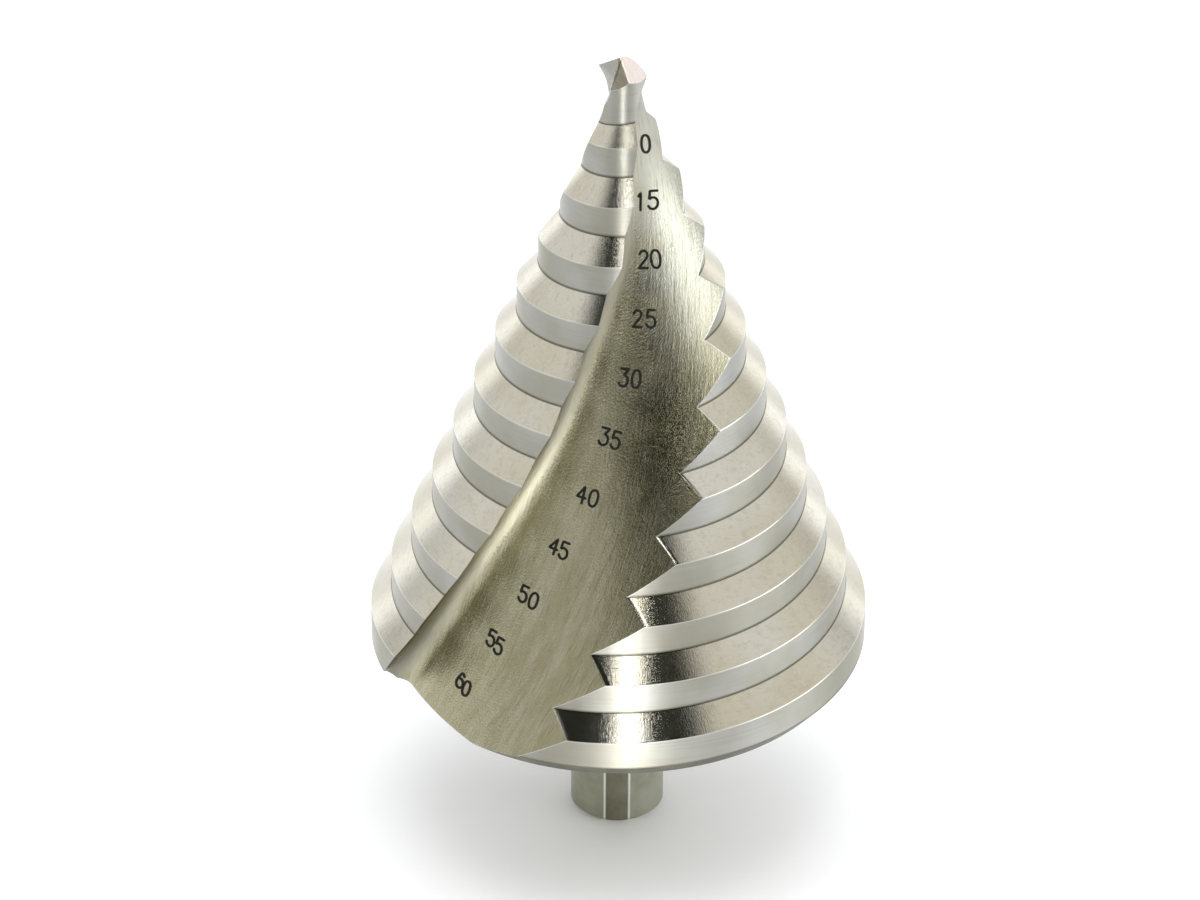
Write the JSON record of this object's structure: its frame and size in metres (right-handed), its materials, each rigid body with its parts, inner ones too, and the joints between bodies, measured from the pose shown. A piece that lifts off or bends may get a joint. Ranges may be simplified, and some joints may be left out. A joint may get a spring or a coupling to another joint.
{
  "type": "step drill bit",
  "caption": "Spiral-fluted step drill bit: a stepped cone with cylindrical lands, conical shoulders, a short split pilot point and a plain shank with flats.",
  "frame": {"origin": "centre of the shank's flat end face, on the drill's axis", "axes": "+Z along the drill's axis from the shank end to the point; -Y looks at one flute's floor, with one shank flat facing -Y; +X to the right of it"},
  "size_m": [0.0596, 0.0582, 0.1023],
  "materials": {
    "ground_steel": "bare ground high-speed steel, satin"
  },
  "bodies": {
    "root": {"step_drill": "ground_steel"}
  },
  "joints": []
}
